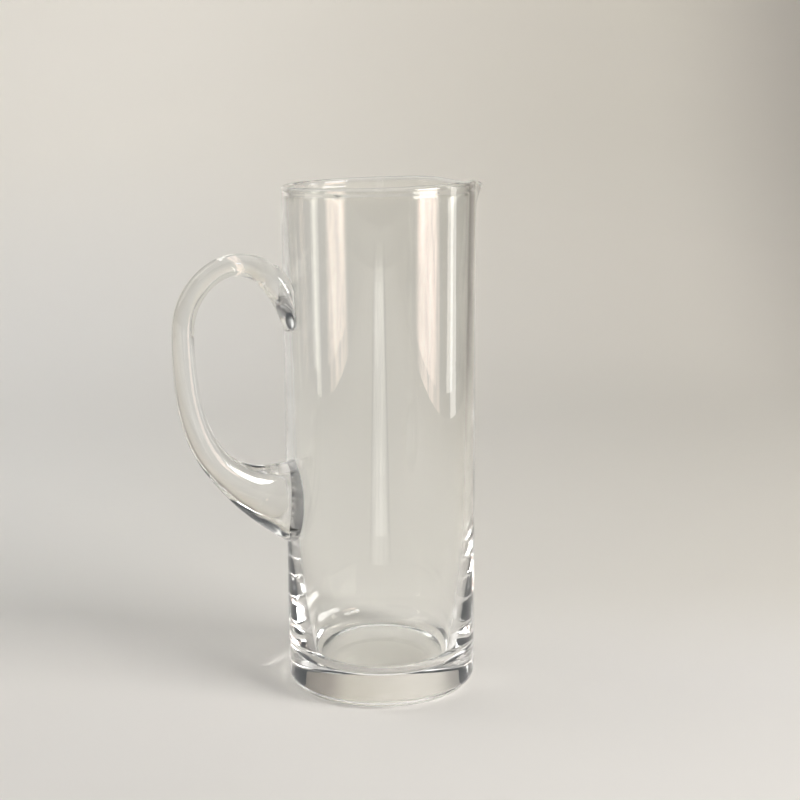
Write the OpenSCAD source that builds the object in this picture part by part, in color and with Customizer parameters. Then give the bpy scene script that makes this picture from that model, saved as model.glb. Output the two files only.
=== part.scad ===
// Tall clear glass beer pitcher. The vessel is one blown cylinder with a heavy floor, a rounded
// heel and a small pulled pouring lip. The handle is one rod of solid glass, fused to the wall
// at a thick foot below and at a pressed tail above.
// Millimetres, +Z up. The handle lies towards -X and the lip towards +X.
// The origin is the middle of the flat underside, which rests on the table.

/* [Vessel] */
// Outside diameter of the cylinder
outer_d = 90; // [76:1:120]
// Height of the rim above the table, midway between handle and lip
rim_h = 240; // [210:1:320]
// Wall thickness at the rim
wall_top = 2.8; // [2:0.1:4.5]
// Thickness that the plain lean of the wall would reach at the inside floor
wall_low = 5.6; // [3:0.1:8]
// Thickness of the heavy floor
floor_t = 12.5; // [9:0.5:22]
// Height above the inside floor at which the wall begins to swell inwards
swell_h = 75; // [40:1:90]
// How far the wall has swelled inwards at the inside floor
swell_in = 5.8; // [0:0.1:9]
// Radius of the inside corner between floor and wall
floor_fillet_r = 9; // [3:0.5:14]
// Radius of the rounded heel
heel_r = 6; // [1:0.5:9]

/* [Pouring lip] */
// How far the tip of the lip stands out past the wall
lip_reach = 8; // [3:0.5:14]
// Width of the lip where it leaves the round of the rim
lip_w = 50; // [30:1:66]
// How far the flare of the lip runs down the wall
lip_depth = 24; // [16:1:30]
// How far the tip of the lip droops
lip_drop = 3.2; // [0:0.1:5]
// How much higher the rim lies towards the lip than towards the handle
rim_rise = 2.6; // [0:0.1:5]

/* [Handle] */
// How far the middle of the rod stands out past the wall at the grip
handle_reach = 51; // [40:1:70]
// Height of the middle of the foot above the table
foot_z = 95; // [70:0.5:105]
// How far the crest of the rod's middle line lies below the rim
crest_drop = 35; // [31:1:45]
// How far the crest stands out past the wall
crest_out = 26.5; // [20:0.5:32]
// How far the tip of the tail lies below the crest
tail_drop = 31; // [24:1:38]
// Thickness of the rod at the grip, towards the wall
rod_t = 9.8; // [8:0.1:15]
// Width of the rod at the grip, across
rod_w = 11; // [8:0.5:18]
// Thickness of the rod where the flare of the foot begins
low_t = 15.8; // [9:0.1:19]
// Width of the rod where the flare of the foot begins
low_w = 14; // [9:0.5:19]
// Height of the foot on the wall, across the rod
foot_h = 40; // [26:1:46]
// Width of the foot on the wall
foot_w = 20.5; // [14:0.5:26]
// Width of the tail pressed on the wall
tail_w = 21; // [9:0.5:24]
// Thickness of the glass at the tip of the tail
tip_t = 4; // [1.5:0.5:6]
// Thickness added at the knuckle, where the rod turns down and is pressed on the wall
knuckle_t = 2.6; // [0:0.1:4]

/* [Hidden] */
glass_color = [0.86, 0.9, 0.9, 0.45];
$fn = 96;

// Vessel
outer_r = outer_d / 2;
// Radius of the cavity at the floor and at the rim, before the swell and the corner are taken off
cavity_low_r = outer_r - wall_low;
cavity_top_r = outer_r - wall_top;
// Lean of the inside wall away from upright
wall_lean = atan((cavity_top_r - cavity_low_r) / (rim_h - floor_t));
// Steps down the swell of the inside wall and round its corner
swell_steps = 16;
corner_steps = 12;
// Level at which the plain cylinder ends and the band with the lip begins
band_z = rim_h - lip_depth;

// Band with the rim and the lip
// How far the band reaches into the wall below it, how far its two faces lie inside the wall's
// there, and the height at which it has come flush with them
band_sink = 1.2;
band_inset = 0.05;
band_flush_h = 2.5;
// Steps round the band, up its sides and over the round of the rim
band_steps = 108;
side_steps = 7;
round_steps = 6;
lip_half_angle = asin(lip_w / 2 / outer_r);

// Handle
crest_z = rim_h - crest_drop;
// Height of the grip, where the rod stands out most, between the foot and the crest
grip_level_share = 0.72;
grip_z = foot_z + grip_level_share * (crest_z - foot_z);
tail_z = crest_z - tail_drop;
// Rise of the rod where it leaves the foot, and lean of the tail off the wall
foot_angle = 13;
tail_angle = 11;
// Reach of the curve's control points, as shares of the stretch that each one shapes
foot_pull_share = 0.82;
grip_low_pull_share = 0.57;
grip_high_pull_share = 0.67;
crest_out_pull_share = 0.35;
crest_in_pull_share = 0.79;
tail_pull_share = 0.5;
// Part of the lower arm that the flare of the foot takes
flare_share = 0.46;
// Parts of the tail over which it broadens, thins and rounds off at its tip
broadening_share = 0.7;
thinning_share = 0.5;
rounding_share = 0.22;
// Place of the knuckle along the tail, and how far it tapers off to both sides
knuckle_share = 0.42;
knuckle_taper_share = 0.42;
// Width left at the very tip of the tail, as a share of the tail's width
tip_width_share = 0.25;
// Steps along the three arcs of the rod, and round its section
low_steps = 34;
high_steps = 18;
tail_steps = 24;
section_steps = 28;
// How far the foot's end lies inside the wall before it is cut to the wall's round: past the
// slant of its end, and past the fall of the wall across its width
foot_slant = foot_h / 2 * sin(foot_angle);
foot_fall = outer_r - sqrt(outer_r * outer_r - foot_w * foot_w / 4);
cut_overrun = 3;
foot_sink = foot_slant + foot_fall + cut_overrun;

// A smooth hump: 1 at the middle, 0 from reach outwards
function hump(distance, reach) = abs(distance) >= reach ? 0 : pow(cos(90 * distance / reach), 2);

// How far down its height a stretch above the inside floor a level lies: 0 at its top, 1 at the floor
function depth_share(z, height) = min(1, max(0, (floor_t + height - z) / height));

// Radius of the inside wall at a height: a plain lean, less the swell, less the rounded corner
function cavity_r(z) = cavity_low_r + (z - floor_t) * tan(wall_lean)
    - swell_in * pow(depth_share(z, swell_h), 2)
    - floor_fillet_r * (1 - sqrt(1 - pow(depth_share(z, floor_fillet_r), 2)));

// Heights of the points down the inside wall, from the start of the swell to the floor
function swell_z(step) = floor_t + swell_h - step / swell_steps * (swell_h - floor_fillet_r);
function corner_z(step) = floor_t + floor_fillet_r * (1 - sin(90 * step / corner_steps));
function inside_heights() = concat(
    [for (i = [0 : swell_steps]) swell_z(i)],
    [for (i = [1 : corner_steps]) corner_z(i)]);

// Height of a step up the sides of the band, from where it is flush to the round of the rim
function side_z(step) = band_z + band_flush_h
    + step / side_steps * (rim_h - wall_top / 2 - band_z - band_flush_h);

// Section of the band as [radius, height], up the outside, over the rim and down the inside
function band_outside() = concat(
    [for (z = [band_z - band_sink, band_z + band_sink]) [outer_r - band_inset, z]],
    [for (i = [0 : side_steps]) [outer_r, side_z(i)]]);
function band_round() = [for (i = [1 : round_steps - 1])
    let (turn = 180 * i / round_steps)
    [outer_r - wall_top / 2 * (1 - cos(turn)), rim_h - wall_top / 2 * (1 - sin(turn))]];
function band_inside() = concat(
    [for (i = [side_steps : -1 : 0]) [cavity_r(side_z(i)), side_z(i)]],
    [for (z = [band_z + band_sink, band_z - band_sink]) [cavity_r(z) + band_inset, z]]);
function band_section() = concat(band_outside(), band_round(), band_inside());

// A point of the band's section at an angle round the vessel, drawn out into the lip
function drawn_out(point, angle) =
    let (
        off = angle > 180 ? angle - 360 : angle,
        climb = max(0, (point[1] - band_z) / lip_depth),
        bend = climb * climb,
        lip = hump(off, lip_half_angle),
        r = point[0] + lip_reach * lip * bend,
        z = point[1] + (rim_rise / 2 * cos(angle) - lip_drop * lip) * bend
    )
    [r * cos(angle), r * sin(angle), z];

// Faces of a grid of rings, each ring closed, with two triangles to a cell
function cell_faces(a, b, c, d) = [[a, b, c], [a, c, d]];
function tube_faces(rings, sides) = [for (i = [0 : rings - 2]) for (j = [0 : sides - 1])
    each cell_faces(i * sides + j, i * sides + (j + 1) % sides,
                    (i + 1) * sides + (j + 1) % sides, (i + 1) * sides + j)];
function ring_faces(rings, sides) = [for (i = [0 : rings - 1]) for (j = [0 : sides - 1])
    each cell_faces(i * sides + j, i * sides + (j + 1) % sides,
                    ((i + 1) % rings) * sides + (j + 1) % sides, ((i + 1) % rings) * sides + j)];

// Middle line of the rod as [distance from the axis, height], in three arcs
foot_point = [outer_r, foot_z];
grip_point = [outer_r + handle_reach, grip_z];
crest_point = [outer_r + crest_out, crest_z];
tail_point = [outer_r, tail_z];
low_arc = [
    foot_point,
    foot_point + foot_pull_share * handle_reach * [cos(foot_angle), sin(foot_angle)],
    grip_point - [0, grip_low_pull_share * (grip_z - foot_z)],
    grip_point];
high_arc = [
    grip_point,
    grip_point + [0, grip_high_pull_share * (crest_z - grip_z)],
    crest_point + [crest_out_pull_share * (handle_reach - crest_out), 0],
    crest_point];
tail_arc = [
    crest_point,
    crest_point - [crest_in_pull_share * crest_out, 0],
    tail_point + tail_pull_share * tail_drop * [sin(tail_angle), cos(tail_angle)],
    tail_point];

function arc_point(arc, t) = pow(1 - t, 3) * arc[0] + 3 * t * pow(1 - t, 2) * arc[1]
    + 3 * t * t * (1 - t) * arc[2] + pow(t, 3) * arc[3];
function arc_slope(arc, t) = let (
        slope = pow(1 - t, 2) * (arc[1] - arc[0]) + 2 * t * (1 - t) * (arc[2] - arc[1])
            + t * t * (arc[3] - arc[2])
    ) slope / norm(slope);

// Thickness and width of the rod along each arc
function low_size(t) = let (flare = pow(max(0, 1 - t / flare_share), 2))
    [low_t + (rod_t - low_t) * t + (foot_h - low_t) * flare,
     low_w + (rod_w - low_w) * t + (foot_w - low_w) * flare];
function ease(t) = let (part = min(1, max(0, t))) part * part * (3 - 2 * part);
function tail_size(t) = let (
        close = max(0, (t - 1 + rounding_share) / rounding_share),
        knuckle = max(0, 1 - abs(t - knuckle_share) / knuckle_taper_share)
    )
    [rod_t + (tip_t - rod_t) * ease((t - 1 + thinning_share) / thinning_share) + knuckle_t * knuckle,
     (rod_w + (tail_w - rod_w) * ease(t / broadening_share))
        * (tip_width_share + (1 - tip_width_share) * sqrt(1 - close * close))];

// One ring of the rod: an ellipse square to the middle line
function rod_ring(middle, slope, size) = [for (j = [0 : section_steps - 1])
    let (
        turn = 360 * j / section_steps,
        at = middle + size[0] / 2 * cos(turn) * [-slope[1], slope[0]]
    )
    [-at[0], size[1] / 2 * sin(turn), at[1]]];
function rod_rings() = concat(
    [rod_ring(foot_point - foot_sink * arc_slope(low_arc, 0), arc_slope(low_arc, 0), low_size(0))],
    [for (i = [0 : low_steps]) let (t = i / low_steps)
        rod_ring(arc_point(low_arc, t), arc_slope(low_arc, t), low_size(t))],
    [for (i = [1 : high_steps]) let (t = i / high_steps)
        rod_ring(arc_point(high_arc, t), arc_slope(high_arc, t), [rod_t, rod_w])],
    [for (i = [1 : tail_steps]) let (t = i / tail_steps)
        rod_ring(arc_point(tail_arc, t), arc_slope(tail_arc, t), tail_size(t))]);

// Half section of the plain cylinder: the solid outline with its heel, less the cavity
module vessel_section() {
    difference() {
        union() {
            square([outer_r - heel_r, band_z]);
            translate([0, heel_r]) square([outer_r, band_z - heel_r]);
            translate([outer_r - heel_r, heel_r]) circle(heel_r);
        }
        polygon(concat(
            [[0, rim_h], [cavity_r(rim_h), rim_h]],
            [for (z = inside_heights()) [cavity_r(z), z]],
            [[0, floor_t]]));
    }
}

module band() {
    section = band_section();
    rings = [for (i = [0 : band_steps - 1]) [for (p = section) drawn_out(p, 360 * i / band_steps)]];
    polyhedron([for (ring = rings) each ring], ring_faces(band_steps, len(section)));
}

module rod() {
    rings = rod_rings();
    last = (len(rings) - 1) * section_steps;
    polyhedron(
        [for (ring = rings) each ring],
        concat(
            [[for (j = [0 : section_steps - 1]) section_steps - 1 - j]],
            tube_faces(len(rings), section_steps),
            [[for (j = [0 : section_steps - 1]) last + j]]));
}

module vessel() {
    color(glass_color) {
        rotate_extrude() vessel_section();
        band();
    }
}

module handle() {
    color(glass_color)
        difference() {
            rod();
            cylinder(r = outer_r, h = rim_h);
        }
}

vessel();
handle();
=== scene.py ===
"""A tall clear glass pitcher on a pale sweep, under soft light from one tall window on the right."""

import math

import bmesh
import bpy
import numpy as np
from mathutils import Matrix, Vector


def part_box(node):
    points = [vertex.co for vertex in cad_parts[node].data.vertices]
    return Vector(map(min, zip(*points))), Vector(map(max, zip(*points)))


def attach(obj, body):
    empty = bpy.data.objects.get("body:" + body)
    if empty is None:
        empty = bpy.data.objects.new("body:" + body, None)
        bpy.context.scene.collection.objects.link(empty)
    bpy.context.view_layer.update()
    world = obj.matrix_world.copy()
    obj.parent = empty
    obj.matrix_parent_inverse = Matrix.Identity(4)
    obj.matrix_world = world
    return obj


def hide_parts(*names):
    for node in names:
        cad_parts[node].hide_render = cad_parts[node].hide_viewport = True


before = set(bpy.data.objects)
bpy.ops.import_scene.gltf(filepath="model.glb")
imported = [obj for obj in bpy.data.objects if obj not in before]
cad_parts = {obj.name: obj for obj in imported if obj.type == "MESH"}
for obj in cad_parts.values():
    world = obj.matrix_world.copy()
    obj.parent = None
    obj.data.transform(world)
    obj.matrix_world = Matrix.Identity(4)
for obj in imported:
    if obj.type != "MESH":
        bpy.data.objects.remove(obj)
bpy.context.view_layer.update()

# Vessel
OUTER_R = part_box("vessel")[1][1]
RIM_Z = 0.240
WALL_TOP = 0.0028
WALL_LOW = 0.0056
FLOOR_T = 0.0125
SWELL_H = 0.075
SWELL_IN = 0.0058
CORNER_R = 0.009
HEEL_R = 0.006

# Pouring lip
LIP_REACH = 0.008
LIP_W = 0.050
LIP_DEPTH = 0.024
LIP_DROP = 0.0032
RIM_RISE = 0.0026

# Bead left by melting the rim smooth
BEAD_T = 0.0007
BEAD_H = 0.0045

# Handle
HANDLE_REACH = 0.051
FOOT_Z = 0.095
CREST_DROP = 0.035
CREST_OUT = 0.0265
TAIL_DROP = 0.031
ROD_T = 0.0098
ROD_W = 0.011
LOW_T = 0.0158
LOW_W = 0.014
FOOT_H = 0.040
FOOT_W = 0.0205
TAIL_W = 0.021
TIP_T = 0.004
KNUCKLE_T = 0.0026
GRIP_LEVEL_SHARE = 0.72
FOOT_ANGLE = math.radians(13)
TAIL_ANGLE = math.radians(11)
FOOT_PULL_SHARE = 0.82
GRIP_LOW_PULL_SHARE = 0.57
GRIP_HIGH_PULL_SHARE = 0.67
CREST_OUT_PULL_SHARE = 0.35
CREST_IN_PULL_SHARE = 0.79
TAIL_PULL_SHARE = 0.5
FLARE_SHARE = 0.46
BROADENING_SHARE = 0.7
THINNING_SHARE = 0.5
ROUNDING_SHARE = 0.22
KNUCKLE_SHARE = 0.42
KNUCKLE_TAPER_SHARE = 0.42
TIP_WIDTH_SHARE = 0.25

# Pinch where the rod was folded down to the wall
PINCH_SHARE = 0.31
PINCH_REACH_SHARE = 0.07
PINCH_DEPTH_SHARE = 0.12

# Joint: how far the rod first runs into the wall, and where inside the wall it is then cut off
SINK = 0.012
CUT_DEPTH_SHARE = 0.45
CUT_R = OUTER_R - CUT_DEPTH_SHARE * WALL_LOW

# Fineness of the meshes
ROUND_STEPS = 288
WALL_STEPS = 56
BAND_STEPS = 20
ARC_STEPS = 14
FLOOR_STEPS = 6
CORNER_STEPS = 24
SECTION_STEPS = 72
ROD_STEPS = (110, 56, 72)
SWEEP_FLOOR_STEPS = 32
SWEEP_BEND_STEPS = 24
SWEEP_WALL_STEPS = 8
MERGE_DISTANCE = 1e-7

# Glass, with the ripples of a blown wall: stretch is their fineness upwards against sideways
GLASS_COLOR = (0.985, 0.986, 0.970)
GLASS_IOR = 1.51
RIPPLES_PER_METRE = 70
RIPPLE_STRETCH = 0.12
RIPPLE_DETAIL = 2
RIPPLE_DEPTH = 0.0006
RIPPLE_STRENGTH = 0.08

# View: the photograph looks along the direction that lies this far round from +Y
VIEW_TURN = math.radians(-25)
CAMERA_DISTANCE = 0.6976
CAMERA_HEIGHT = 0.2729
CAMERA_PITCH = math.radians(10.98)
CAMERA_YAW = math.radians(0.78)
CAMERA_ROLL = math.radians(-0.24)
CAMERA_CLIP = 0.01
FOCAL_PIXELS = 1499
IMAGE_PIXELS = 800
SENSOR_MM = 36

# Sweep. Its places, and those of the lights, are right of, away from and above the camera's level view
FLOOR_GAP = 0.0003
BACK_BEND = 0.66
BEND_R = 0.8
WALL_TOP_Z = 0.85
SWEEP_LEFT = -1.5
SWEEP_RIGHT = 0.685
SWEEP_BACK_RIGHT = 1.4
SWEEP_WIDENING = (0.35, 0.66)
SWEEP_FRONT = -2.0

# Colours of the sweep, with light and shade painted on: lighter at the upper left, painted shade at the
# right, the far left and towards the back, and the stretches over which one passes into the next
CARD_ROUGHNESS = 0.85
CARD_SPECULAR = 0.2
FLOOR_COLOR = (0.725, 0.705, 0.675)
# Painted light at the left and up high, painted shade at the right, on the far part
LOW_LEFT_PAINTED_LIGHT = (0.71, 0.70, 0.675)
LOW_RIGHT_PAINTED_SHADE = (0.65, 0.622, 0.565)
HIGH_LEFT_PAINTED_LIGHT = (0.75, 0.725, 0.67)
HIGH_RIGHT_PAINTED_SHADE = (0.585, 0.562, 0.502)
# Painted shade at the sweep's right and far left
RIGHT_PAINTED_SHADE = (0.34, 0.32, 0.29)
LEFT_PAINTED_SHADE = (0.50, 0.48, 0.45)
ACROSS_FADE = (-0.40, 0.40)
HEIGHT_FADE = (0.0, 0.28)
FLOOR_FADE = (-0.03, 0.16)
RIGHT_SHADE_FADE = (0.33, 0.68)
LEFT_SHADE_FADE = (-0.6, -1.2)

# Margins of the sweep that melt into the room where they are looked at
FRONT_MARGIN = (-0.7, -1.3)
LEFT_MARGIN = (-0.75, -1.35)
NEAR_MARGIN = (0.5, 0.2)
NEAR_RIGHT_MARGIN = (0.42, 0.68)
FAR_RIGHT_MARGIN = (0.68, 1.1)
TOP_MARGIN = (0.55, 0.84)

# Lights: sizes are width and height, powers are in watts, fades are shares of the width
LAMP_COLOR = (1, 0.985, 0.96)
STREAK_COLOR = (1, 0.82, 0.745)
WINDOW_DISTANCE = 1.5
WINDOW_TURN = math.radians(59)
WINDOW_LOW_Z = -0.05
WINDOW_LOW_SIZE = (0.9, 0.8)
WINDOW_LOW_POWER = 14.5
WINDOW_LOW_FADES = (0.35, 0.15)
WINDOW_LOW_UNEVENNESS = 0.55
WINDOW_HIGH_Z = 0.75
WINDOW_HIGH_SIZE = (0.9, 0.55)
WINDOW_HIGH_POWER = 31
GAP_TURN = math.radians(96.5)
GAP_Z = 0.0
GAP_SIZE = (0.26, 0.9)
GAP_POWER = 3.2
STRIP_PLACE = (-0.003, -0.37, 0.075)
STRIP_TARGET = (-0.003, 0.23, 0.875)
STRIP_SIZE = (0.115, 0.25)
STRIP_POWER = 0.145
STRIP_FADES = (0.2, 0.25)
STRIP_UNEVENNESS = 0.4
FILL_PLACE = (-0.9, 0.2, 0.9)
FILL_TARGET = (-0.3, 1.4, 0.3)
FILL_SIZE = (0.9, 0.9)
FILL_POWER = 5
CEILING_PLACE = (-0.3, 0.0, 2.4)
CEILING_TARGET = (-0.3, 0.0, 0.0)
CEILING_SIZE = (3.0, 3.0)
CEILING_POWER = 30
CRISP_FADES = (0.01, 0.01)

# Patches of an uneven light: how many across, up and through, and the range of noise that they take up
PATCH_COUNTS = (6, 4, 1)
PATCH_DETAIL = 4
PATCH_LIMITS = (0.35, 0.65)

# Room: its colour in reflections, and where it is looked at
ROOM_DIM = (0.05, 0.056, 0.063)
ROOM_PALE = (0.60, 0.58, 0.53)

# Bounces of light, enough for light that is guided along inside the wall
GLASS_BOUNCES = 160
CARD_BOUNCES = 4
# A count of bounces under this is none
NO_BOUNCES = 0.5


def turned(right, away, up):
    """A place given as right of, away from and above the camera's level view, in the part's frame."""
    c, s = math.cos(VIEW_TURN), math.sin(VIEW_TURN)
    return Vector((c * right - s * away, s * right + c * away, up))


# Shapes


def hump(distance, reach):
    """A smooth hump: 1 at the middle, 0 from reach outwards."""
    inside = np.abs(distance) < reach
    return np.where(inside, np.cos(0.5 * math.pi * distance / reach) ** 2, 0.0)


def ease(t):
    """A smooth step from 0 to 1."""
    part = np.clip(t, 0, 1)
    return part**2 * (3 - 2 * part)


def arc(middle, radius, first, last, steps=ARC_STEPS):
    """Points of an arc in the (radius, height) plane, angles in degrees."""
    turns = np.radians(np.linspace(first, last, steps + 1))
    return np.stack([middle[0] + radius * np.cos(turns), middle[1] + radius * np.sin(turns)], axis=1)


def line(first, last, steps):
    """Points of a straight stretch, both ends included."""
    return np.linspace(first, last, steps + 1)


def full_turn(steps):
    """Angles of evenly spaced points round a ring."""
    return np.linspace(0, 2 * math.pi, steps, endpoint=False)


def cavity_r(z):
    """Radius of the inside wall at a height, before the lip is pulled: it swells inwards near the floor."""
    lean = (WALL_LOW - WALL_TOP) / (RIM_Z - FLOOR_T)
    swell = np.clip((FLOOR_T + SWELL_H - z) / SWELL_H, 0, 1)
    corner = np.clip((FLOOR_T + CORNER_R - z) / CORNER_R, 0, 1)
    bead = ease((z - RIM_Z + WALL_TOP / 2 + BEAD_H) / BEAD_H)
    inwards = SWELL_IN * swell**2 + CORNER_R * (1 - np.sqrt(1 - corner**2)) + BEAD_T * bead
    return OUTER_R - WALL_LOW + (z - FLOOR_T) * lean - inwards


def inside_wall(first_z, last_z, steps):
    """Points down the inside wall, both ends included."""
    z = np.linspace(first_z, last_z, steps + 1)
    return np.stack([cavity_r(z), z], axis=1)


def vessel_profile():
    """Half section of the vessel, from the middle of the underside to the middle of the inside floor."""
    rim_r = (WALL_TOP + BEAD_T) / 2
    band_z = RIM_Z - LIP_DEPTH
    round_z = RIM_Z - rim_r
    corner_turn = np.linspace(0, math.pi / 2, CORNER_STEPS + 1)
    corner_z = FLOOR_T + CORNER_R * (1 - np.sin(corner_turn))
    stretches = [
        line((0, 0), (OUTER_R - HEEL_R, 0), FLOOR_STEPS),
        arc((OUTER_R - HEEL_R, HEEL_R), HEEL_R, -90, 0),
        line((OUTER_R, HEEL_R), (OUTER_R, band_z), WALL_STEPS),
        line((OUTER_R, band_z), (OUTER_R, round_z), BAND_STEPS),
        arc((OUTER_R - rim_r, round_z), rim_r, 0, 180),
        inside_wall(round_z, band_z, BAND_STEPS),
        inside_wall(band_z, FLOOR_T + SWELL_H, WALL_STEPS),
        inside_wall(FLOOR_T + SWELL_H, FLOOR_T + CORNER_R, WALL_STEPS),
        np.stack([cavity_r(corner_z), corner_z], axis=1),
        line((cavity_r(FLOOR_T), FLOOR_T), (0, FLOOR_T), FLOOR_STEPS),
    ]
    return np.concatenate([stretches[0]] + [stretch[1:] for stretch in stretches[1:]])


def draw_out(r, z, angle):
    """Radius and height of wall points after the lip is pulled."""
    half = math.asin(LIP_W / 2 / OUTER_R)
    off = np.abs((angle + math.pi) % (2 * math.pi) - math.pi)
    bend = np.clip((z - RIM_Z + LIP_DEPTH) / LIP_DEPTH, 0, None) ** 2
    lip = hump(off, half)
    return r + LIP_REACH * lip * bend, z + (RIM_RISE / 2 * np.cos(angle) - LIP_DROP * lip) * bend


def vessel_rings():
    """The vessel's profile turned round the axis, one ring of points for each profile point."""
    profile = vessel_profile()
    angles = full_turn(ROUND_STEPS)
    r, z = draw_out(profile[:, :1], profile[:, 1:], angles[None, :])
    return np.stack([r * np.cos(angles), r * np.sin(angles), z], axis=2)


def core_rings():
    """Both ends of the cylinder that cuts off the rod inside the wall."""
    angles = full_turn(ROUND_STEPS)
    x, y = CUT_R * np.cos(angles), CUT_R * np.sin(angles)
    return np.stack([np.stack([x, y, np.full(ROUND_STEPS, z)], axis=1) for z in (0.0, RIM_Z)])


def bezier(points, t):
    """Place and unit direction on a cubic curve."""
    p = np.array(points)
    t = t[:, None]
    place = (1 - t) ** 3 * p[0] + 3 * t * (1 - t) ** 2 * p[1] + 3 * t**2 * (1 - t) * p[2] + t**3 * p[3]
    slope = (1 - t) ** 2 * (p[1] - p[0]) + 2 * t * (1 - t) * (p[2] - p[1]) + t**2 * (p[3] - p[2])
    return place, slope / np.linalg.norm(slope, axis=1, keepdims=True)


def rod_arcs():
    """The three curves of the rod's middle line, as (distance from the axis, height)."""
    crest_z = RIM_Z - CREST_DROP
    grip_z = FOOT_Z + GRIP_LEVEL_SHARE * (crest_z - FOOT_Z)
    foot = np.array([OUTER_R, FOOT_Z])
    grip = np.array([OUTER_R + HANDLE_REACH, grip_z])
    crest = np.array([OUTER_R + CREST_OUT, crest_z])
    tail = np.array([OUTER_R, crest_z - TAIL_DROP])
    foot_way = np.array([math.cos(FOOT_ANGLE), math.sin(FOOT_ANGLE)])
    tail_way = np.array([math.sin(TAIL_ANGLE), math.cos(TAIL_ANGLE)])
    low = [
        foot,
        foot + FOOT_PULL_SHARE * HANDLE_REACH * foot_way,
        grip - [0, GRIP_LOW_PULL_SHARE * (grip_z - FOOT_Z)],
        grip,
    ]
    high = [
        grip,
        grip + [0, GRIP_HIGH_PULL_SHARE * (crest_z - grip_z)],
        crest + [CREST_OUT_PULL_SHARE * (HANDLE_REACH - CREST_OUT), 0],
        crest,
    ]
    last = [
        crest,
        crest - [CREST_IN_PULL_SHARE * CREST_OUT, 0],
        tail + TAIL_PULL_SHARE * TAIL_DROP * tail_way,
        tail,
    ]
    return low, high, last


def low_size(t):
    """Thickness and width of the rod from the foot, with its flare, up to the grip."""
    flare = np.clip(1 - t / FLARE_SHARE, 0, None) ** 2
    thick = LOW_T + (ROD_T - LOW_T) * t + (FOOT_H - LOW_T) * flare
    wide = LOW_W + (ROD_W - LOW_W) * t + (FOOT_W - LOW_W) * flare
    return thick, wide


def high_size(t):
    """Thickness and width of the rod from the grip to the crest, the same all along."""
    return np.full_like(t, ROD_T), np.full_like(t, ROD_W)


def tail_size(t):
    """Thickness and width from the crest to the tip: pinched, then thick at the knuckle, then flat."""
    close = np.clip((t - 1 + ROUNDING_SHARE) / ROUNDING_SHARE, 0, 1)
    rounded = TIP_WIDTH_SHARE + (1 - TIP_WIDTH_SHARE) * np.sqrt(1 - close**2)
    wide = (ROD_W + (TAIL_W - ROD_W) * ease(t / BROADENING_SHARE)) * rounded
    knuckle = np.clip(1 - np.abs(t - KNUCKLE_SHARE) / KNUCKLE_TAPER_SHARE, 0, None)
    thick = ROD_T + (TIP_T - ROD_T) * ease((t - 1 + THINNING_SHARE) / THINNING_SHARE) + KNUCKLE_T * knuckle
    pinch = PINCH_DEPTH_SHARE * hump(t - PINCH_SHARE, PINCH_REACH_SHARE)
    return thick * (1 - pinch), wide


def rod_rings():
    """The handle's rod: ellipses square to its middle line, starting a sink's length inside the wall."""
    places, slopes, thick, wide = [], [], [], []
    sizes = (low_size, high_size, tail_size)
    for points, size, steps in zip(rod_arcs(), sizes, ROD_STEPS):
        t = np.linspace(0, 1, steps + 1)
        place, slope = bezier(points, t)
        thick_here, wide_here = size(t)
        start = 1 if places else 0
        places.append(place[start:])
        slopes.append(slope[start:])
        thick.append(thick_here[start:])
        wide.append(wide_here[start:])
    sunk = places[0][:1] - SINK * slopes[0][:1]
    place = np.concatenate([sunk, *places])
    slope = np.concatenate([slopes[0][:1], *slopes])
    thick = np.concatenate([thick[0][:1], *thick])
    wide = np.concatenate([wide[0][:1], *wide])
    turn = full_turn(SECTION_STEPS)
    across = np.stack([-slope[:, 1], slope[:, 0]], axis=1)
    half = 0.5 * thick[:, None] * np.cos(turn)
    out = place[:, :1] + half * across[:, :1]
    up = place[:, 1:] + half * across[:, 1:]
    return np.stack([-out, 0.5 * wide[:, None] * np.sin(turn), up], axis=2)


# Meshes


def linked(name, data):
    """A new object in the scene."""
    thing = bpy.data.objects.new(name, data)
    bpy.context.collection.objects.link(thing)
    return thing


def skin(name, rings, poles):
    """A closed mesh over rings of points. With poles, the first and last rings are one point each."""
    count, steps = rings.shape[:2]
    faces = []
    for i in range(count - 1):
        for j in range(steps):
            k = (j + 1) % steps
            faces.append((i * steps + j, i * steps + k, (i + 1) * steps + k, (i + 1) * steps + j))
    if not poles:
        last = (count - 1) * steps
        faces.append(tuple(reversed(range(steps))))
        faces.append(tuple(range(last, last + steps)))
    mesh = bpy.data.meshes.new(name)
    mesh.from_pydata(rings.reshape(-1, 3).tolist(), [], faces)
    mesh.validate()
    clean(mesh)
    return linked(name, mesh)


def clean(mesh):
    """Merges points that fall together, and turns the faces outwards."""
    bm = bmesh.new()
    bm.from_mesh(mesh)
    bmesh.ops.remove_doubles(bm, verts=bm.verts, dist=MERGE_DISTANCE)
    bmesh.ops.recalc_face_normals(bm, faces=bm.faces)
    bm.to_mesh(mesh)
    bm.free()


def combine(piece, tool, operation):
    """Applies a boolean of piece and tool to piece's mesh."""
    modifier = piece.modifiers.new(operation, "BOOLEAN")
    modifier.object = tool
    modifier.operation = operation
    modifier.solver = "EXACT"
    modifier.material_mode = "INDEX"
    depsgraph = bpy.context.evaluated_depsgraph_get()
    depsgraph.update()
    mesh = bpy.data.meshes.new_from_object(piece.evaluated_get(depsgraph))
    piece.modifiers.clear()
    old = piece.data
    piece.data = mesh
    bpy.data.meshes.remove(old)


def mark(piece, material, index):
    """Gives a piece two slots of one material, and puts all its faces in one of them."""
    piece.data.materials.clear()
    for _ in range(2):
        piece.data.materials.append(material)
    for polygon in piece.data.polygons:
        polygon.material_index = index


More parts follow.
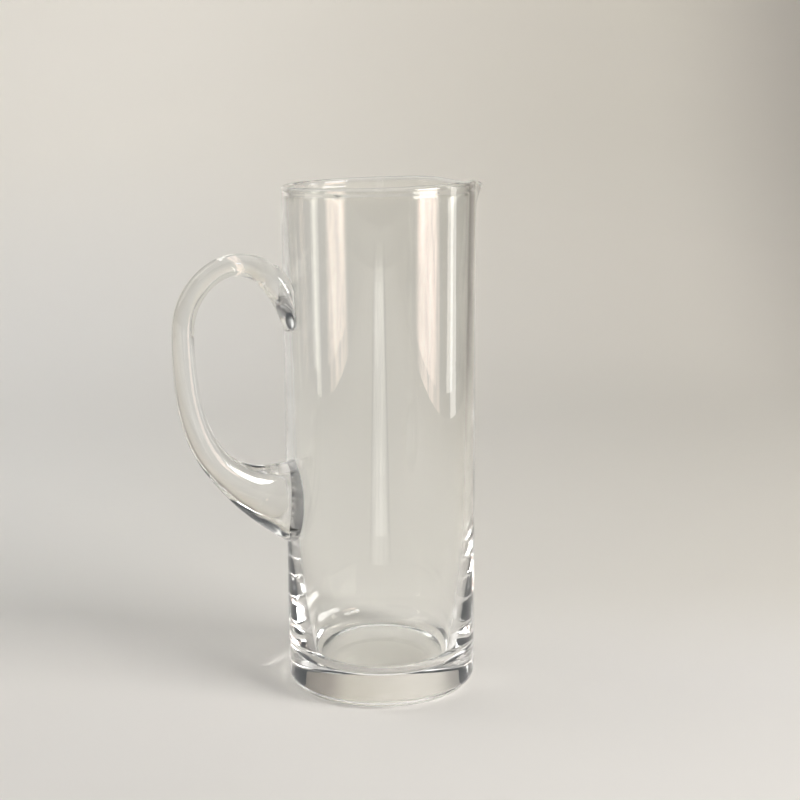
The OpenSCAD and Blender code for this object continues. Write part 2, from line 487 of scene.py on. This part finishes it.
def marked_part(piece, name, material, index):
    """A new smooth piece with just the faces that were marked with one slot."""
    mesh = piece.data.copy()
    mesh.name = name
    bm = bmesh.new()
    bm.from_mesh(mesh)
    other = [face for face in bm.faces if face.material_index != index]
    bmesh.ops.delete(bm, geom=other, context="FACES")
    for face in bm.faces:
        face.smooth = True
        face.material_index = 0
    bm.to_mesh(mesh)
    bm.free()
    mesh.materials.clear()
    mesh.materials.append(material)
    return linked(name, mesh)


# Nodes of materials


def new_material(name):
    """A material with nodes, and its tree."""
    material = bpy.data.materials.new(name)
    material.use_nodes = True
    return material, material.node_tree


def graded(tree, value, first, last):
    """A smooth step from 0 at the first value to 1 at the last."""
    step = tree.nodes.new("ShaderNodeMapRange")
    step.interpolation_type = "SMOOTHSTEP"
    step.inputs["From Min"].default_value = first
    step.inputs["From Max"].default_value = last
    tree.links.new(value, step.inputs["Value"])
    return step.outputs["Result"]


def blended(tree, factor, first, last):
    """A colour between two others, each a colour or another node's output."""
    mix = tree.nodes.new("ShaderNodeMix")
    mix.data_type = "RGBA"
    tree.links.new(factor, mix.inputs["Factor"])
    for color, socket in ((first, mix.inputs["A"]), (last, mix.inputs["B"])):
        if isinstance(color, tuple):
            socket.default_value = (*color, 1)
        else:
            tree.links.new(color, socket)
    return mix.outputs["Result"]


def computed(tree, operation, first, second):
    """An operation on two values, each a number or another node's output."""
    node = tree.nodes.new("ShaderNodeMath")
    node.operation = operation
    for value, socket in zip((first, second), node.inputs):
        if isinstance(value, (int, float)):
            socket.default_value = value
        else:
            tree.links.new(value, socket)
    return node.outputs["Value"]


def place_parts(tree, source):
    """The X, Y and Z of a point of the surface, in one of its coordinate systems."""
    split = tree.nodes.new("ShaderNodeSeparateXYZ")
    place = tree.nodes.new("ShaderNodeTexCoord")
    tree.links.new(place.outputs[source], split.inputs["Vector"])
    return split.outputs


def stretched_noise(tree, source, stretch, scale, detail):
    """Soft noise over one of the surface's coordinate systems, stretched along its axes."""
    place = tree.nodes.new("ShaderNodeTexCoord")
    mapping = tree.nodes.new("ShaderNodeMapping")
    mapping.inputs["Scale"].default_value = stretch
    tree.links.new(place.outputs[source], mapping.inputs["Vector"])
    noise = tree.nodes.new("ShaderNodeTexNoise")
    noise.inputs["Scale"].default_value = scale
    noise.inputs["Detail"].default_value = detail
    tree.links.new(mapping.outputs["Vector"], noise.inputs["Vector"])
    return noise.outputs["Fac"]


def seen_straight(tree):
    """1 where a view runs straight or through clear glass, 0 in reflections and on lit surfaces."""
    path = tree.nodes.new("ShaderNodeLightPath").outputs
    looks = computed(tree, "ADD", path["Is Camera Ray"], path["Is Transmission Ray"])
    turns = computed(tree, "ADD", path["Glossy Depth"], path["Diffuse Depth"])
    direct = computed(tree, "LESS_THAN", turns, NO_BOUNCES)
    return computed(tree, "MULTIPLY", looks, direct)


def let_through(tree, share, shader):
    """Makes the surface of a shader, and lets a share of the rays pass through it."""
    clear = tree.nodes.new("ShaderNodeBsdfTransparent")
    mix = tree.nodes.new("ShaderNodeMixShader")
    tree.links.new(share, mix.inputs[0])
    tree.links.new(shader.outputs[0], mix.inputs[1])
    tree.links.new(clear.outputs[0], mix.inputs[2])
    tree.links.new(mix.outputs[0], tree.nodes["Material Output"].inputs["Surface"])


# Materials


def glass_material():
    """Clear glass with the faint upright ripples of a blown wall."""
    material, tree = new_material("clear_glass")
    shader = tree.nodes["Principled BSDF"]
    shader.inputs["Base Color"].default_value = (*GLASS_COLOR, 1)
    shader.inputs["Roughness"].default_value = 0
    shader.inputs["IOR"].default_value = GLASS_IOR
    shader.inputs["Transmission Weight"].default_value = 1
    bump = tree.nodes.new("ShaderNodeBump")
    bump.inputs["Strength"].default_value = RIPPLE_STRENGTH
    bump.inputs["Distance"].default_value = RIPPLE_DEPTH
    ripples = stretched_noise(tree, "Object", (1, 1, RIPPLE_STRETCH), RIPPLES_PER_METRE, RIPPLE_DETAIL)
    tree.links.new(ripples, bump.inputs["Height"])
    tree.links.new(bump.outputs["Normal"], shader.inputs["Normal"])
    return material


def sweep_painted_light_and_shade(tree, place):
    """A pale near floor, and a far part with painted light and shade: palest at the upper left, dark at the
    upper right, with painted shade towards the right and the far left.
    """
    across = graded(tree, place["X"], *ACROSS_FADE)
    # Painted light on the left, painted shade on the right, more so up high
    low = blended(tree, across, LOW_LEFT_PAINTED_LIGHT, LOW_RIGHT_PAINTED_SHADE)
    high = blended(tree, across, HIGH_LEFT_PAINTED_LIGHT, HIGH_RIGHT_PAINTED_SHADE)
    wall = blended(tree, graded(tree, place["Z"], *HEIGHT_FADE), low, high)
    # Painted shade: the pale floor darkens into the wall tones towards the back
    color = blended(tree, graded(tree, place["Y"], *FLOOR_FADE), FLOOR_COLOR, wall)
    # Painted shade towards the right and the far left edges
    color = blended(tree, graded(tree, place["X"], *RIGHT_SHADE_FADE), color, RIGHT_PAINTED_SHADE)
    return blended(tree, graded(tree, place["X"], *LEFT_SHADE_FADE), color, LEFT_PAINTED_SHADE)


def sweep_margin(tree, place):
    """0 on the sweep's middle part, rising to 1 at its edges."""
    near = graded(tree, place["Y"], *NEAR_MARGIN)
    near_right = graded(tree, place["X"], *NEAR_RIGHT_MARGIN)
    margin = computed(tree, "MULTIPLY", near, near_right)
    edges = (("Y", FRONT_MARGIN), ("X", LEFT_MARGIN), ("X", FAR_RIGHT_MARGIN), ("Z", TOP_MARGIN))
    for axis, fade in edges:
        margin = computed(tree, "MAXIMUM", margin, graded(tree, place[axis], *fade))
    return margin


def sweep_material():
    """Matt pale card that melts into the room at its margins, where it is looked at."""
    material, tree = new_material("pale_sweep")
    shader = tree.nodes["Principled BSDF"]
    shader.inputs["Roughness"].default_value = CARD_ROUGHNESS
    shader.inputs["Specular IOR Level"].default_value = CARD_SPECULAR
    place = place_parts(tree, "Object")
    tree.links.new(sweep_painted_light_and_shade(tree, place), shader.inputs["Base Color"])
    melted = computed(tree, "MULTIPLY", sweep_margin(tree, place), seen_straight(tree))
    let_through(tree, melted, shader)
    return material


def patches(tree, unevenness):
    """Light and dark patches round a level of 1."""
    level = tree.nodes.new("ShaderNodeMapRange")
    level.inputs["From Min"].default_value = PATCH_LIMITS[0]
    level.inputs["From Max"].default_value = PATCH_LIMITS[1]
    level.inputs["To Min"].default_value = 1 - unevenness
    level.inputs["To Max"].default_value = 1 + unevenness
    noise = stretched_noise(tree, "Generated", PATCH_COUNTS, 1, PATCH_DETAIL)
    tree.links.new(noise, level.inputs["Value"])
    return level.outputs["Result"]


def glow_material(name, color, strength, fades, unevenness):
    """One-sided light that reflections and lit surfaces see. A straight view passes through it."""
    material, tree = new_material(name)
    tree.nodes.remove(tree.nodes["Principled BSDF"])
    glow = tree.nodes.new("ShaderNodeEmission")
    glow.inputs["Color"].default_value = (*color, 1)
    across = place_parts(tree, "Generated")["X"]
    near = graded(tree, across, 0, fades[0])
    far = graded(tree, across, 1, 1 - fades[1])
    level = computed(tree, "MULTIPLY", computed(tree, "MULTIPLY", near, far), strength)
    if unevenness:
        level = computed(tree, "MULTIPLY", level, patches(tree, unevenness))
    tree.links.new(level, glow.inputs["Strength"])
    behind = tree.nodes.new("ShaderNodeNewGeometry").outputs["Backfacing"]
    let_through(tree, computed(tree, "MAXIMUM", seen_straight(tree), behind), glow)
    return material


# Pitcher


def pitcher():
    """The vessel and the handle, joined as one body of glass and then parted along the joint's outline."""
    glass = glass_material()
    whole = skin("vessel_glass", vessel_rings(), poles=True)
    rod = skin("rod", rod_rings(), poles=False)
    core = skin("core", core_rings(), poles=False)
    combine(rod, core, "DIFFERENCE")
    mark(whole, glass, 0)
    mark(rod, glass, 1)
    combine(whole, rod, "UNION")
    vessel = marked_part(whole, "blown_vessel", glass, 0)
    handle = marked_part(whole, "applied_handle", glass, 1)
    for helper in (whole, rod, core):
        bpy.data.objects.remove(helper)
    for piece, node in ((vessel, "vessel"), (handle, "handle")):
        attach(piece, "root")
        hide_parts(node)


# Stage


def sweep():
    """The floor, bent up far behind the pitcher into a wall."""
    bend = arc((BACK_BEND, BEND_R - FLOOR_GAP), BEND_R, -90, 0, SWEEP_BEND_STEPS)
    profile = np.concatenate([
        line((SWEEP_FRONT, -FLOOR_GAP), (BACK_BEND, -FLOOR_GAP), SWEEP_FLOOR_STEPS),
        bend[1:],
        line(bend[-1], (bend[-1][0], WALL_TOP_Z), SWEEP_WALL_STEPS)[1:],
    ])
    points = []
    for away, up in profile:
        widening = ease((away - SWEEP_WIDENING[0]) / (SWEEP_WIDENING[1] - SWEEP_WIDENING[0]))
        points.append((SWEEP_LEFT, away, up))
        points.append((SWEEP_RIGHT + (SWEEP_BACK_RIGHT - SWEEP_RIGHT) * widening, away, up))
    faces = [(2 * i, 2 * i + 1, 2 * i + 3, 2 * i + 2) for i in range(len(profile) - 1)]
    mesh = bpy.data.meshes.new("sweep")
    mesh.from_pydata(points, [], faces)
    mesh.polygons.foreach_set("use_smooth", [True] * len(faces))
    mesh.materials.append(sweep_material())
    piece = linked("sweep", mesh)
    piece.rotation_euler.z = VIEW_TURN


def facing(place, target):
    """The pose of a light at a place in the camera's level view, its face towards a target there."""
    at, to = turned(*place), turned(*target)
    return Matrix.Translation(at) @ (to - at).to_track_quat("-Z", "Y").to_matrix().to_4x4()


def area_light(name, place, target, size, power):
    """A rectangular soft lamp."""
    lamp = bpy.data.lights.new(name, "AREA")
    lamp.shape = "RECTANGLE"
    lamp.size, lamp.size_y = size
    lamp.energy = power
    lamp.color = LAMP_COLOR
    linked(name, lamp).matrix_world = facing(place, target)


def light_panel(name, place, target, size, power, color=LAMP_COLOR, fades=CRISP_FADES, unevenness=0):
    """A glowing sheet, one-sided, with the light of an area lamp of that power."""
    w, h = size[0] / 2, size[1] / 2
    mesh = bpy.data.meshes.new(name)
    mesh.from_pydata([(-w, -h, 0), (-w, h, 0), (w, h, 0), (w, -h, 0)], [], [(0, 1, 2, 3)])
    strength = power / (math.pi * size[0] * size[1])
    mesh.materials.append(glow_material(name, color, strength, fades, unevenness))
    panel = linked(name, mesh)
    panel.matrix_world = facing(place, target)


def standing_panel(name, turn, up, size, power, **look):
    """A light panel that stands round the pitcher, at an angle to the right of its camera side."""
    place = (WINDOW_DISTANCE * math.sin(turn), -WINDOW_DISTANCE * math.cos(turn), up)
    light_panel(name, place, (0, 0, up), size, power, **look)


def lights():
    """A tall window in two parts, a lit gap beside it, a strip in front, and two soft lamps for the room."""
    standing_panel(
        "window_low", WINDOW_TURN, WINDOW_LOW_Z, WINDOW_LOW_SIZE, WINDOW_LOW_POWER,
        color=STREAK_COLOR, fades=WINDOW_LOW_FADES, unevenness=WINDOW_LOW_UNEVENNESS,
    )
    standing_panel("window_high", WINDOW_TURN, WINDOW_HIGH_Z, WINDOW_HIGH_SIZE, WINDOW_HIGH_POWER)
    standing_panel("window_gap", GAP_TURN, GAP_Z, GAP_SIZE, GAP_POWER)
    light_panel(
        "front_strip", STRIP_PLACE, STRIP_TARGET, STRIP_SIZE, STRIP_POWER,
        fades=STRIP_FADES, unevenness=STRIP_UNEVENNESS,
    )
    area_light("wall_fill", FILL_PLACE, FILL_TARGET, FILL_SIZE, FILL_POWER)
    area_light("ceiling", CEILING_PLACE, CEILING_TARGET, CEILING_SIZE, CEILING_POWER)


def room():
    """A room that is dim in reflections, and as pale as the sweep where it is looked at."""
    world = bpy.data.worlds.new("room")
    world.use_nodes = True
    tree = world.node_tree
    color = blended(tree, seen_straight(tree), ROOM_DIM, ROOM_PALE)
    tree.links.new(color, tree.nodes["Background"].inputs["Color"])
    bpy.context.scene.world = world


def camera():
    """The photograph's camera, with its pitch, yaw and roll."""
    lens = bpy.data.cameras.new("camera")
    lens.sensor_width = SENSOR_MM
    lens.lens = FOCAL_PIXELS / IMAGE_PIXELS * SENSOR_MM
    lens.clip_start = CAMERA_CLIP
    ahead = turned(
        math.sin(CAMERA_YAW) * math.cos(CAMERA_PITCH),
        math.cos(CAMERA_YAW) * math.cos(CAMERA_PITCH),
        -math.sin(CAMERA_PITCH),
    )
    level_right = turned(math.cos(CAMERA_YAW), -math.sin(CAMERA_YAW), 0)
    level_up = level_right.cross(ahead)
    right = math.cos(CAMERA_ROLL) * level_right + math.sin(CAMERA_ROLL) * level_up
    up = -math.sin(CAMERA_ROLL) * level_right + math.cos(CAMERA_ROLL) * level_up
    turn = Matrix((right, up, -ahead)).transposed().to_4x4()
    holder = linked("camera", lens)
    holder.matrix_world = Matrix.Translation(turned(0, -CAMERA_DISTANCE, CAMERA_HEIGHT)) @ turn
    bpy.context.scene.camera = holder


def tracing():
    """Plain colours, and enough bounces for thick glass."""
    scene = bpy.context.scene
    scene.view_settings.view_transform = "Standard"
    scene.cycles.max_bounces = GLASS_BOUNCES
    scene.cycles.transmission_bounces = GLASS_BOUNCES
    scene.cycles.glossy_bounces = GLASS_BOUNCES
    scene.cycles.diffuse_bounces = CARD_BOUNCES
    scene.cycles.blur_glossy = 0


pitcher()
sweep()
lights()
room()
camera()
tracing()
